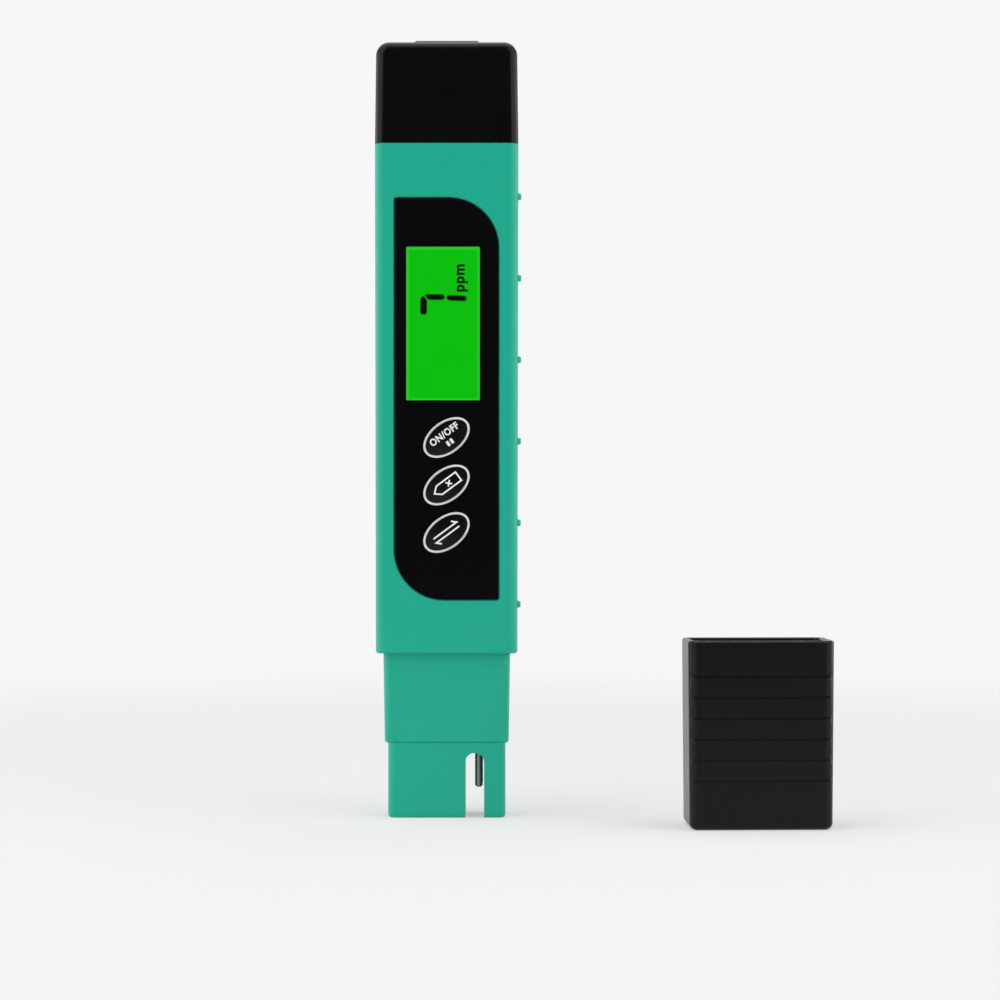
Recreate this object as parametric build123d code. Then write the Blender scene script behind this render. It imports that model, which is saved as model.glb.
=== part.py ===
from build123d import *
import os
from math import atan2, cos, degrees, hypot, radians, sin

# Pocket total dissolved solids meter: a pen with two electrodes in the slot of its nose, a display,
# three oval keys, a pull-off battery cap with a pocket clip, and the probe cap that stands beside it.
# Millimetres. +Z runs up the pen, the display faces -Y and +X is to the reader's right.
# The origin is the middle of the flat end of the nose.

# Display window in the fascia, and the clear lens in it
WINDOW_WIDTH = 14.7
WINDOW_HEIGHT = 30.7
WINDOW_X = -0.7
WINDOW_CORNER = 0.2
LENS_LEDGE = 0.8
LENS_FACE = 0.4
LENS_FIT = 0.05

# Fascia plate in its recess
FASCIA_SIDE = 3.0
FASCIA_ABOVE_WINDOW = 9.75
FASCIA_BELOW_KEYS = 9.32
FASCIA_THICKNESS = 0.8
FASCIA_PROUD = 0.1
FASCIA_FIT = 0.12
FASCIA_CORNER = 0.4
RECESS_BEVEL = 0.2

# Keys, their rings and their switches
KEY_COUNT = 3
KEY_TILT = 36.5
KEY_SPACING = 1.337
WINDOW_TO_KEYS = 3.37
RING_LONG = 5.26
RING_SHORT = 3.26
RING_WIDTH = 0.45
RING_PROUD = 0.2
RING_FIT = 0.02
KEY_FIT = 0.12
KEY_CROWN = 0.5
KEY_CROWN_RADIUS = 20.0
KEY_FLANGE = 0.5
KEY_FLANGE_THICKNESS = 0.7
KEY_STEM_DIAMETER = 3.0
KEY_STEM_LENGTH = 0.3
KEY_BACKLASH = 0.1
KEY_TRAVEL = 0.3
SWITCH_SIZE = 6.0
PLUNGER_DIAMETER = 3.4
PLUNGER_PROUD = 0.8
PLUNGER_LENGTH = 1.5
PLUNGER_FIT = 0.1

# Display stack behind the window, front to back, in its tray
STACK_GAP = 0.1
POLARISER = 0.2
POLARISER_INSET = 1.0
GLASS = 0.7
GLASS_SIDE = 2.65
GLASS_END = 1.65
LIGHT_GUIDE = 2.0
ZEBRA_WIDTH = 1.6
ZEBRA_END = 2.0
ZEBRA_EDGE = 0.2
TRAY_WALL = 0.8
TRAY_FLOOR = 0.6
TRAY_FOOT = 0.8
TRAY_SIDE_GAP = 0.6
LED_WIDTH = 3.0
LED_HEIGHT = 1.4
LED_PITCH = 7.0

# Circuit board and its screws
BOARD_THICKNESS = 1.2
BOARD_SIDE_GAP = 1.05
BOARD_BELOW_KEYS = 11.3
BOARD_GAP = 0.7
BOSS_DIAMETER = 4.4
BOSS_SIDE = 1.9
BOSS_INSET = 2.6
BOSS_GAP = 1.7
BOSS_FLOOR = 0.9
SCREW_DIAMETER = 1.8
SCREW_LENGTH = 3.6
SCREW_HEAD = 3.4
SCREW_HEAD_HEIGHT = 1.2
SCREW_FIT = 0.05

# Parts on the back of the board, by their height over the lowest key
CONTROLLER_SIZE = 10.0
CONTROLLER_HEIGHT = 1.4
CONTROLLER_PINS = 8
CONTROLLER_RISE = 38.7
AMPLIFIER_SIZE = 4.4
AMPLIFIER_HEIGHT = 1.2
AMPLIFIER_PINS = 4
AMPLIFIER_RISE = 2.7
PIN_LENGTH = 0.8
PIN_WIDTH = 0.5
PIN_HEIGHT = 0.3
CRYSTAL_WIDTH = 3.8
CRYSTAL_LENGTH = 10.4
CRYSTAL_HEIGHT = 3.0
CRYSTAL_RISE = 21.7
CHIP_LENGTH = 2.0
CHIP_WIDTH = 1.25
CHIP_PITCH = 2.6
CAPACITOR_HEIGHT = 1.25
CAPACITOR_COUNT = 4
CAPACITOR_RISE = 48.7
RESISTOR_HEIGHT = 0.5
RESISTOR_COUNT = 6
RESISTOR_RISE = 12.7
PARTS_GAP = 0.6

# Two button cells, one above the other, and what holds and joins them
CELL_DIAMETER = 11.6
CELL_THICKNESS = 5.4
CELL_CAP_DIAMETER = 9.6
CELL_CAP_HEIGHT = 0.6
CELL_FIT = 0.15
CELL_GAP = 0.2
HOLDER_FIT = 0.1
HOLDER_LIP = 1.5
HOLDER_FLOOR = 1.0
HOLDER_RIM = 0.9
HOLDER_CORNER = 0.8
HOLDER_FLANGE_HEIGHT = 2.0
HOLDER_FLANGE_GAP = 0.3
LEAF = 0.25
LEAF_WIDTH = 2.6
LEAF_X = 2.2
LEAF_FOOT = 2.6
LEAF_RISE = 3.0
LEAF_STAND_OFF = 0.75
BRIDGE_WIDTH = 4.0

# Case walls, the neck for the battery cap and the joint between the half shells
WALL = 2.0
CASE_CORNER = 1.8
CASE_DRAFT = 0.2
CASE_EDGE = 0.3
CAVITY_CORNER = 0.6
SHOULDER = 1.5
NECK_LENGTH = 8.0
NECK_WALL = 1.3
NECK_CORNER = 1.5
BORE_CORNER = 1.0
TONGUE_WIDTH = 0.9
TONGUE_DEPTH = 0.9
TONGUE_INSET = 3.0
JOINT_FIT = 0.05
RIB_COUNT = 6
RIB_DEPTH = 0.9
RIB_THICKNESS = 0.8
FASCIA_RISE = 10.8

# Moulded nubs down the right edge
NUB_COUNT = 6
NUB_RADIUS = 0.9
NUB_TAPER = 20.0
NUB_ROOT = 0.4
NUB_PROUD = 0.6
NUB_LOW = 9.8
NUB_HIGH = 10.65

# Battery cap and pocket clip
CAP_HEIGHT = 20.35
CAP_WALL = 1.5
CAP_FIT = 0.1
CAP_ROOF = 1.6
CAP_DRAFT = 0.25
CAP_ROUND = 2.7
HEAD_ROOM = 4.55
CLIP_WIDTH = 13.4
CLIP_TIP_WIDTH = 9.0
CLIP_LENGTH = 44.65
CLIP_THICKNESS = 1.7
CLIP_GAP = 3.0
CLIP_PROUD = 0.6
CLIP_FRONT = 2.5
CLIP_ROOT = 3.6
CLIP_BEND = 4.2
CLIP_CROOK = 1.8
CLIP_END_ROUND = 0.7
CLIP_NOSE_RADIUS = 1.9
CLIP_NOSE_RISE = 3.4
CLIP_CLEARANCE = 0.3

# Seat for the probe cap, and the nose
SEAT_LENGTH = 18.0
SEAT_TAPER = 0.3
SEAT_CORNER = 1.5
SEAT_WALL = 1.8
SEAT_EDGE = 0.3
NOSE_LENGTH = 15.1
NOSE_STEP_SIDE = 0.65
NOSE_STEP_FRONT = 0.2
NOSE_CORNER = 1.5
NOSE_EDGE = 0.7

# Probe cap and where it stands, open end up
PROBE_WALL = 1.35
PROBE_FIT = 0.1
PROBE_FLOOR = 1.5
PROBE_DRAFT = 0.3
PROBE_ROUND = 1.4
NOSE_ROOM = 2.0
PROBE_CAP_X = 61.0
PROBE_CAP_Y = -20.0
PROBE_CAP_TURN = 2.0
RIM_EDGE = 0.3
GROOVE_COUNT = 6
GROOVE_LOW = 9.65
GROOVE_HIGH = 6.85
GROOVE_HEIGHT = 0.5
GROOVE_DEPTH = 0.35

# Probe: electrodes in the slot of the nose, their holder and seal, and the thermistor
SLOT_WIDTH = 3.8
SLOT_EDGE = 6.2
SLOT_CROWN = 2.1
ELECTRODE_DIAMETER = 1.55
ELECTRODE_EDGE = 0.35
ELECTRODE_SIDE = 0.275
ELECTRODE_INSET = 2.8
ELECTRODE_BOTTOM = 6.0
ELECTRODE_STUB = 2.4
ELECTRODE_FIT = 0.05
PROBE_BORE_FLOOR = 0.5
SEAL_HEIGHT = 2.0
ELECTRODE_HOLDER_HEIGHT = 4.0
ELECTRODE_HOLDER_WIDTH = 6.0
THERMISTOR_SIDE = 5.6
THERMISTOR_EDGE = 0.8
THERMISTOR_BOTTOM = 3.5
THERMISTOR_DIAMETER = 2.6
THERMISTOR_LENGTH = 6.0
THERMISTOR_FIT = 0.2
WIRE_DIAMETER = 0.6
WIRE_OVERLAP = 3.0
THERMISTOR_WIRE_GAP = 0.5

# Depths, from the display stack, the board and the tallest part behind it
STACK_DEPTH = STACK_GAP + 2 * POLARISER + 2 * GLASS + LIGHT_GUIDE + TRAY_FLOOR + TRAY_FOOT
CAVITY_DEPTH = STACK_DEPTH + BOARD_THICKNESS + CRYSTAL_HEIGHT + PARTS_GAP + RIB_DEPTH
CASE_DEPTH = CAVITY_DEPTH + 2 * WALL
FRONT_Y = -CASE_DEPTH / 2
BACK_Y = CASE_DEPTH / 2
CAVITY_FRONT = -CAVITY_DEPTH / 2
CAVITY_BACK = CAVITY_DEPTH / 2
FASCIA_FACE = FRONT_Y - FASCIA_PROUD
RECESS_Y = FASCIA_FACE + FASCIA_THICKNESS
LENS_STEP_Y = FASCIA_FACE + LENS_FACE
POLARISER_Y = CAVITY_FRONT + STACK_GAP
FRONT_GLASS_Y = POLARISER_Y + POLARISER
REAR_GLASS_Y = FRONT_GLASS_Y + GLASS
REAR_POLARISER_Y = REAR_GLASS_Y + GLASS
GUIDE_Y = REAR_POLARISER_Y + POLARISER
TRAY_FLOOR_Y = GUIDE_Y + LIGHT_GUIDE
BOARD_FACE = CAVITY_FRONT + STACK_DEPTH
BOARD_BACK = BOARD_FACE + BOARD_THICKNESS
CELL_FRONT = -CELL_THICKNESS / 2
CELL_BACK = CELL_THICKNESS / 2

# Widths, from the display outwards
FASCIA_WIDTH = WINDOW_WIDTH + 2 * FASCIA_SIDE
GLASS_WIDTH = WINDOW_WIDTH + 2 * GLASS_SIDE
CORE_WIDTH = GLASS_WIDTH - 2 * (ZEBRA_WIDTH + 2 * ZEBRA_EDGE)
TRAY_WIDTH = GLASS_WIDTH + 2 * (STACK_GAP + TRAY_WALL)
CAVITY_WIDTH = TRAY_WIDTH + 2 * (abs(WINDOW_X) + TRAY_SIDE_GAP)
BOARD_WIDTH = CAVITY_WIDTH - 2 * BOARD_SIDE_GAP
BOSS_X = BOARD_WIDTH / 2 - BOSS_SIDE
BOTTOM_WIDTH = CAVITY_WIDTH + 2 * WALL
CASE_WIDTH = BOTTOM_WIDTH + 2 * CASE_DRAFT
NECK_WIDTH = CASE_WIDTH - 2 * (CAP_WALL + CAP_FIT)
NECK_DEPTH = CASE_DEPTH - 2 * (CAP_WALL + CAP_FIT)
NECK_BORE_WIDTH = NECK_WIDTH - 2 * NECK_WALL
NECK_BORE_DEPTH = NECK_DEPTH - 2 * NECK_WALL
HOLDER_WIDTH = NECK_BORE_WIDTH - 2 * HOLDER_FIT
HOLDER_DEPTH = NECK_BORE_DEPTH - 2 * HOLDER_FIT
SEAT_WIDTH = BOTTOM_WIDTH - 2 * (PROBE_WALL + PROBE_FIT)
SEAT_DEPTH = CASE_DEPTH - 2 * (PROBE_WALL + PROBE_FIT)
SEAT_END_WIDTH = SEAT_WIDTH - 2 * SEAT_TAPER
SEAT_END_DEPTH = SEAT_DEPTH - 2 * SEAT_TAPER
PROBE_BORE_WIDTH = SEAT_END_WIDTH - 2 * SEAT_WALL
PROBE_BORE_DEPTH = SEAT_END_DEPTH - 2 * SEAT_WALL
NOSE_WIDTH = SEAT_END_WIDTH - 2 * NOSE_STEP_SIDE
NOSE_DEPTH = SEAT_END_DEPTH - 2 * NOSE_STEP_FRONT
SLOT_X = NOSE_WIDTH / 2 - SLOT_EDGE
ELECTRODE_X = SLOT_X + (SLOT_WIDTH - ELECTRODE_DIAMETER) / 2 - ELECTRODE_SIDE
ELECTRODE_Y = NOSE_DEPTH / 2 - ELECTRODE_INSET
THERMISTOR_X = THERMISTOR_SIDE - NOSE_WIDTH / 2

# Levels, from the nose up to the roof of the battery cap
RING_RISE = hypot(RING_LONG * sin(radians(KEY_TILT)), RING_SHORT * cos(radians(KEY_TILT)))
KEY_PITCH = 2 * RING_RISE + KEY_SPACING
KEYS_HEIGHT = 2 * RING_RISE + KEY_PITCH * (KEY_COUNT - 1)
FASCIA_HEIGHT = FASCIA_BELOW_KEYS + KEYS_HEIGHT + WINDOW_TO_KEYS + WINDOW_HEIGHT + FASCIA_ABOVE_WINDOW
GLASS_HEIGHT = WINDOW_HEIGHT + 2 * GLASS_END
ZEBRA_LENGTH = GLASS_HEIGHT - 2 * ZEBRA_END
SEAT_Z = NOSE_LENGTH
CASE_Z = SEAT_Z + SEAT_LENGTH
PROBE_BORE_Z = SEAT_Z + PROBE_BORE_FLOOR
SEAL_TOP = PROBE_BORE_Z + SEAL_HEIGHT
ELECTRODE_TOP = SEAL_TOP + ELECTRODE_HOLDER_HEIGHT + ELECTRODE_STUB
SLOT_TOP = NOSE_LENGTH - SLOT_CROWN
FASCIA_BOTTOM = CASE_Z + FASCIA_RISE
FASCIA_Z = FASCIA_BOTTOM + FASCIA_HEIGHT / 2
KEY_LOW_Z = FASCIA_BOTTOM + FASCIA_BELOW_KEYS + RING_RISE
WINDOW_Z = FASCIA_BOTTOM + FASCIA_HEIGHT - FASCIA_ABOVE_WINDOW - WINDOW_HEIGHT / 2
TRAY_TOP = WINDOW_Z + GLASS_HEIGHT / 2 + STACK_GAP + TRAY_WALL
BOARD_BOTTOM = KEY_LOW_Z - BOARD_BELOW_KEYS
BOARD_TOP = TRAY_TOP + BOSS_GAP + BOSS_DIAMETER / 2 + BOSS_INSET
HOLDER_BOTTOM = BOARD_TOP + BOARD_GAP
CELL_FLOOR_Z = HOLDER_BOTTOM + HOLDER_FLOOR
LOWER_CELL_Z = CELL_FLOOR_Z + CELL_DIAMETER / 2
UPPER_CELL_Z = LOWER_CELL_Z + CELL_DIAMETER + CELL_GAP
HOLDER_TOP = UPPER_CELL_Z + CELL_DIAMETER / 2 + HOLDER_RIM
CEILING_Z = HOLDER_TOP + HEAD_ROOM
ROOF_Z = CEILING_Z + CAP_ROOF
TOP_Z = ROOF_Z - CAP_HEIGHT
NECK_TOP = TOP_Z + NECK_LENGTH
SHOULDER_Z = TOP_Z - SHOULDER
FLOOR_Z = CASE_Z + WALL
PROBE_CAP_HEIGHT = PROBE_FLOOR + NOSE_ROOM + NOSE_LENGTH + SEAT_LENGTH
GROOVE_PITCH = (PROBE_CAP_HEIGHT - GROOVE_LOW - GROOVE_HIGH) / (GROOVE_COUNT - 1)

# Keys, their switches and the screws
KEY_LONG = RING_LONG - RING_WIDTH - KEY_FIT
KEY_SHORT = RING_SHORT - RING_WIDTH - KEY_FIT
RING_FACE = FASCIA_FACE - RING_PROUD
KEY_FACE = RING_FACE - KEY_CROWN
KEY_FLANGE_Y = CAVITY_FRONT + KEY_BACKLASH
KEY_STEM_Y = KEY_FLANGE_Y + KEY_FLANGE_THICKNESS
PLUNGER_FACE = KEY_STEM_Y + KEY_STEM_LENGTH
SWITCH_FACE = PLUNGER_FACE + PLUNGER_PROUD
KEY_NAMES = ("power", "clear", "mode")
KEY_LEVELS = [KEY_LOW_Z + KEY_PITCH * index for index in reversed(range(KEY_COUNT))]
BOSS_ROWS = (BOARD_BOTTOM + BOSS_INSET, BOARD_TOP - BOSS_INSET)


def rounded(width, depth, corner):
    """Rounded rectangle whose corners stay inside its sides."""
    return RectangleRounded(width, depth, min(corner, 0.49 * min(width, depth)))


def prism(outline, low, high):
    """Outline seen from above, raised from one level to another."""
    return extrude(Pos(0, 0, low) * outline, high - low)


def slab(outline, front, back):
    """Outline seen from the front, as thick as from one depth to another."""
    return extrude(Plane.XZ.offset(-back) * outline, back - front)


def drafted(outline, low, high, draft):
    """Outline seen from above, raised and drawn in by the draft on every side on the way up."""
    angle = degrees(atan2(draft, high - low))
    return extrude(Pos(0, 0, low) * outline, high - low, taper=angle)


def block(x, y, z):
    """Box between two places along each axis."""
    size = Box(x[1] - x[0], y[1] - y[0], z[1] - z[0])
    return Pos(sum(x) / 2, sum(y) / 2, sum(z) / 2) * size


def rod(diameter, x, y, z):
    """Upright round bar between two levels."""
    return Pos(x, y, z[0]) * extrude(Circle(diameter / 2), z[1] - z[0])


def pin(diameter, x, z, front, back):
    """Round bar along the depth of the pen."""
    return slab(Pos(x, z) * Circle(diameter / 2), front, back)


def half_width(z):
    """Half the width of the drafted case at a level."""
    return CASE_WIDTH / 2 - CASE_DRAFT * (TOP_Z - z) / (TOP_Z - CASE_Z)


def end_edges(solid, end):
    """Edges round the top (-1) or bottom (0) face of a solid."""
    return solid.faces().sort_by(Axis.Z)[end].edges()


def case_block():
    """Main block of the case, a little wider at the top than at the bottom."""
    low, high = BOTTOM_WIDTH / 2, CASE_WIDTH / 2
    front = make_face(Polyline((-low, CASE_Z), (low, CASE_Z), (high, TOP_Z), (-high, TOP_Z), close=True))
    case = slab(front, FRONT_Y, BACK_Y)
    case = fillet([edge for edge in case.edges() if edge.length > CASE_WIDTH], CASE_CORNER)
    case = chamfer(end_edges(case, 0), CASE_EDGE)
    return chamfer(end_edges(case, -1), CASE_EDGE / 2)


def pen_form():
    """Outside of the whole case, with no hollows."""
    nose = prism(rounded(NOSE_WIDTH, NOSE_DEPTH, NOSE_CORNER), 0, SEAT_Z)
    nose = fillet(end_edges(nose, 0), NOSE_EDGE)
    seat_end = rounded(SEAT_END_WIDTH, SEAT_END_DEPTH, SEAT_CORNER - SEAT_TAPER)
    seat = chamfer(end_edges(drafted(seat_end, SEAT_Z, CASE_Z, -SEAT_TAPER), 0), SEAT_EDGE)
    neck = prism(rounded(NECK_WIDTH, NECK_DEPTH, NECK_CORNER), TOP_Z, NECK_TOP)
    return nose + seat + case_block() + neck


def pen_hollows():
    """Everything that is cut from both half shells."""
    cavity = prism(rounded(CAVITY_WIDTH, CAVITY_DEPTH, CAVITY_CORNER), FLOOR_Z, SHOULDER_Z)
    neck_bore = rounded(NECK_BORE_WIDTH, NECK_BORE_DEPTH, BORE_CORNER)
    neck = prism(neck_bore, SHOULDER_Z, NECK_TOP)
    probe_bore = rounded(PROBE_BORE_WIDTH, PROBE_BORE_DEPTH, BORE_CORNER)
    probe = prism(probe_bore, PROBE_BORE_Z, FLOOR_Z)
    radius = SLOT_WIDTH / 2
    slot = Pos(SLOT_X, (SLOT_TOP - radius) / 2) * Rectangle(SLOT_WIDTH, SLOT_TOP - radius)
    slot += Pos(SLOT_X, SLOT_TOP - radius) * Circle(radius)
    hollows = cavity + neck + probe + slab(slot, -NOSE_DEPTH, NOSE_DEPTH)
    for side in (-1, 1):
        hole = ELECTRODE_DIAMETER + 2 * ELECTRODE_FIT
        hollows += rod(hole, ELECTRODE_X, side * ELECTRODE_Y, (SLOT_TOP - radius, PROBE_BORE_Z))
    pocket = THERMISTOR_DIAMETER + 2 * THERMISTOR_FIT
    hollows += rod(pocket, THERMISTOR_X, 0, (THERMISTOR_BOTTOM - THERMISTOR_FIT, PROBE_BORE_Z))
    return hollows


def tongue_bars(inner_gap, width, depth):
    """Pair of bars along the inside of the joint between the half shells."""
    near = CAVITY_WIDTH / 2 - inner_gap
    low = FLOOR_Z + TONGUE_INSET - inner_gap
    high = SHOULDER_Z - TONGUE_INSET + inner_gap
    right = block((near, near + width + inner_gap), (-depth, 0), (low, high))
    return right, mirror(right, about=Plane.YZ)


def fascia_outline(grow):
    """Plate with two square corners and two corners rounded to half its width."""
    width = FASCIA_WIDTH + 2 * grow
    height = FASCIA_HEIGHT + 2 * grow
    plate = Rectangle(width, height)
    corners = plate.vertices().sort_by(Axis((0, 0, 0), (1, 1, 0)))
    plate = fillet([corners[0], corners[-1]], width / 2 - FASCIA_CORNER)
    sharp = [vertex for vertex in plate.vertices() if vertex.X * vertex.Y < 0
             and abs(vertex.X) > 0.49 * width and abs(vertex.Y) > 0.49 * height]
    return Pos(0, FASCIA_Z) * fillet(sharp, FASCIA_CORNER)


def window_outline(grow):
    """Display window, or the same made larger all round."""
    corner = WINDOW_CORNER + max(grow, 0)
    return Pos(WINDOW_X, WINDOW_Z) * rounded(WINDOW_WIDTH + 2 * grow, WINDOW_HEIGHT + 2 * grow, corner)


def key_outline(z, long_half, short_half):
    """Tilted ellipse of a key, its ring or its hole."""
    return Pos(0, z) * Rot(0, 0, KEY_TILT) * Ellipse(long_half, short_half)


def boss_places():
    """Middle of each board screw, seen from the front."""
    return [(side * BOSS_X, z) for z in BOSS_ROWS for side in (-1, 1)]


def nubs():
    """Row of small blunt studs down the right edge of the case."""
    low, high = CASE_Z + NUB_LOW, TOP_Z - NUB_HIGH
    row = []
    for index in range(NUB_COUNT):
        z = low + (high - low) * index / (NUB_COUNT - 1)
        stud = extrude(Circle(NUB_RADIUS), NUB_ROOT + NUB_PROUD, taper=NUB_TAPER)
        row.append(Pos(half_width(z) - NUB_ROOT, FRONT_Y + CASE_CORNER, z) * Rot(0, 90, 0) * stud)
    return row


def fascia_recess():
    """Recess for the fascia plate, with a small bevel round its mouth."""
    mouth = Plane.XZ.offset(-FRONT_Y) * fascia_outline(FASCIA_FIT + RECESS_BEVEL)
    throat = Plane.XZ.offset(-FRONT_Y - RECESS_BEVEL) * fascia_outline(FASCIA_FIT)
    return loft([mouth, throat], ruled=True) + slab(fascia_outline(FASCIA_FIT), FRONT_Y, RECESS_Y)


def make_front_shell(form, hollows):
    """Front half: fascia recess, display window, key holes, screw bosses and nubs."""
    shell = form & block((-CASE_WIDTH, CASE_WIDTH), (-CASE_DEPTH, 0), (0, ROOF_Z))
    for nub in nubs():
        shell += nub
    shell -= hollows
    shell -= fascia_recess()
    shell -= slab(window_outline(LENS_LEDGE / 2), FRONT_Y, CAVITY_FRONT)
    for z in KEY_LEVELS:
        hole = key_outline(z, KEY_LONG + KEY_FIT, KEY_SHORT + KEY_FIT)
        shell -= slab(hole, FRONT_Y, CAVITY_FRONT)
    for bar in tongue_bars(JOINT_FIT, TONGUE_WIDTH + JOINT_FIT, TONGUE_DEPTH + JOINT_FIT):
        shell -= bar
    for x, z in boss_places():
        shell += pin(BOSS_DIAMETER, x, z, CAVITY_FRONT, BOARD_FACE)
        bore = SCREW_DIAMETER + 2 * SCREW_FIT
        shell -= pin(bore, x, z, CAVITY_FRONT + BOSS_FLOOR, BOARD_FACE)
    return shell


def make_rear_shell(form, hollows):
    """Rear half: plain back, tongue for the joint and cross ribs inside."""
    shell = form & block((-CASE_WIDTH, CASE_WIDTH), (0, CASE_DEPTH), (0, ROOF_Z))
    shell -= hollows
    for bar in tongue_bars(0, TONGUE_WIDTH, TONGUE_DEPTH):
        shell += bar + bar.moved(Location((0, TONGUE_DEPTH, 0)))
    step = (SHOULDER_Z - FLOOR_Z) / (RIB_COUNT + 1)
    for index in range(RIB_COUNT):
        z = FLOOR_Z + step * (index + 1)
        half = CAVITY_WIDTH / 2
        rib = block((-half, half), (CAVITY_BACK - RIB_DEPTH, CAVITY_BACK), (z, z + RIB_THICKNESS))
        shell += rib
    return shell


def make_fascia_panel():
    """Glossy plate with the display window, its rear pocket for the lens and three key holes."""
    panel = slab(fascia_outline(0), FASCIA_FACE, RECESS_Y)
    panel -= slab(window_outline(0), FASCIA_FACE, RECESS_Y)
    panel -= slab(window_outline(LENS_LEDGE), LENS_STEP_Y, RECESS_Y)
    for z in KEY_LEVELS:
        panel -= slab(key_outline(z, RING_LONG, RING_SHORT), FASCIA_FACE, RECESS_Y)
    return panel


def make_display_lens():
    """Clear window with a flange that is trapped behind the fascia."""
    lens = slab(window_outline(-LENS_FIT), FASCIA_FACE, RECESS_Y)
    return lens + slab(window_outline(LENS_LEDGE - LENS_FIT), LENS_STEP_Y, RECESS_Y)


def make_key_rings():
    """Three pale rings set in the fascia."""
    rings = []
    for z in KEY_LEVELS:
        outer = key_outline(z, RING_LONG - RING_FIT, RING_SHORT - RING_FIT)
        inner = key_outline(z, RING_LONG - RING_WIDTH, RING_SHORT - RING_WIDTH)
        rings.append(slab(outer - inner, RING_FACE, RECESS_Y))
    return Compound(children=rings)


def make_key(z):
    """Oval key with a crowned face, a flange behind the case wall and a stem to its switch."""
    crown = slab(key_outline(z, KEY_LONG, KEY_SHORT), KEY_FACE, KEY_FLANGE_Y)
    crown &= Pos(0, KEY_FACE + KEY_CROWN_RADIUS, z) * Sphere(KEY_CROWN_RADIUS)
    flange = key_outline(z, KEY_LONG + KEY_FLANGE, KEY_SHORT + KEY_FLANGE)
    key = crown + slab(flange, KEY_FLANGE_Y, KEY_STEM_Y)
    return key + pin(KEY_STEM_DIAMETER, 0, z, KEY_STEM_Y, PLUNGER_FACE)


def make_plunger(z):
    """Round button of a push switch."""
    return pin(PLUNGER_DIAMETER, 0, z, PLUNGER_FACE, PLUNGER_FACE + PLUNGER_LENGTH)


def make_switch_bodies():
    """Three push switch housings on the board, each with a well for its plunger."""
    well_floor = PLUNGER_FACE + PLUNGER_LENGTH + 2 * KEY_TRAVEL
    bodies = []
    for z in KEY_LEVELS:
        body = slab(Pos(0, z) * Rectangle(SWITCH_SIZE, SWITCH_SIZE), SWITCH_FACE, BOARD_FACE)
        bodies.append(body - pin(PLUNGER_DIAMETER + 2 * PLUNGER_FIT, 0, z, SWITCH_FACE, well_floor))
    return Compound(children=bodies)


def display_plate(width, height, front, thickness):
    """Flat plate of the display stack, centred behind the window."""
    return slab(Pos(WINDOW_X, WINDOW_Z) * Rectangle(width, height), front, front + thickness)


def make_zebra_strips():
    """Rubber strips that join the front glass to the board on both sides."""
    offset = CORE_WIDTH / 2 + ZEBRA_EDGE + ZEBRA_WIDTH / 2
    strips = []
    for side in (-1, 1):
        outline = Pos(WINDOW_X + side * offset, WINDOW_Z) * Rectangle(ZEBRA_WIDTH, ZEBRA_LENGTH)
        strips.append(slab(outline, REAR_GLASS_Y, BOARD_FACE))
    return Compound(children=strips)


def led_places():
    """Middle of each backlight lamp, seen from the front."""
    z = WINDOW_Z - GLASS_HEIGHT / 2 + LED_HEIGHT / 2 + STACK_GAP
    return [(WINDOW_X + side * LED_PITCH / 2, z) for side in (-1, 1)]


def make_backlight_leds():
    """Two lamps on the board under the lower edge of the light guide."""
    lamps = []
    for x, z in led_places():
        outline = Pos(x, z) * Rectangle(LED_WIDTH, LED_HEIGHT)
        lamps.append(slab(outline, TRAY_FLOOR_Y - LED_HEIGHT, BOARD_FACE))
    return Compound(children=lamps)


def make_light_guide():
    """Clear block behind the rear glass, shortened to leave room for the lamps."""
    room = LED_HEIGHT + 2 * STACK_GAP
    outline = Pos(WINDOW_X, WINDOW_Z + room / 2) * Rectangle(CORE_WIDTH, GLASS_HEIGHT - room)
    return slab(outline, GUIDE_Y, TRAY_FLOOR_Y)


def make_lcd_frame():
    """Tray that holds the display stack, with slots for the rubber strips and the lamps."""
    pocket = Rectangle(GLASS_WIDTH + 2 * STACK_GAP, GLASS_HEIGHT + 2 * STACK_GAP)
    outline = rounded(TRAY_WIDTH, TRAY_WIDTH + GLASS_HEIGHT - GLASS_WIDTH, TRAY_WALL)
    place = Pos(WINDOW_X, WINDOW_Z)
    frame = slab(place * outline, POLARISER_Y, BOARD_FACE)
    frame -= slab(place * pocket, POLARISER_Y, TRAY_FLOOR_Y)
    frame -= slab(place * pocket, TRAY_FLOOR_Y + TRAY_FLOOR, BOARD_FACE)
    offset = CORE_WIDTH / 2 + ZEBRA_EDGE + ZEBRA_WIDTH / 2
    for side in (-1, 1):
        slot = Rectangle(ZEBRA_WIDTH + ZEBRA_EDGE, ZEBRA_LENGTH + ZEBRA_EDGE)
        slot = Pos(WINDOW_X + side * offset, WINDOW_Z) * slot
        frame -= slab(slot, TRAY_FLOOR_Y, BOARD_FACE)
    for x, z in led_places():
        notch = Rectangle(LED_WIDTH + 2 * STACK_GAP, LED_HEIGHT + 2 * STACK_GAP)
        frame -= slab(Pos(x, z) * notch, TRAY_FLOOR_Y, TRAY_FLOOR_Y + TRAY_FLOOR)
    return frame


def make_circuit_board():
    """Board across the middle of the case, with a hole for each screw."""
    half = BOARD_WIDTH / 2
    board = block((-half, half), (BOARD_FACE, BOARD_BACK), (BOARD_BOTTOM, BOARD_TOP))
    for x, z in boss_places():
        board -= pin(SCREW_DIAMETER + 2 * SCREW_FIT, x, z, BOARD_FACE, BOARD_BACK)
    return board


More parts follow.
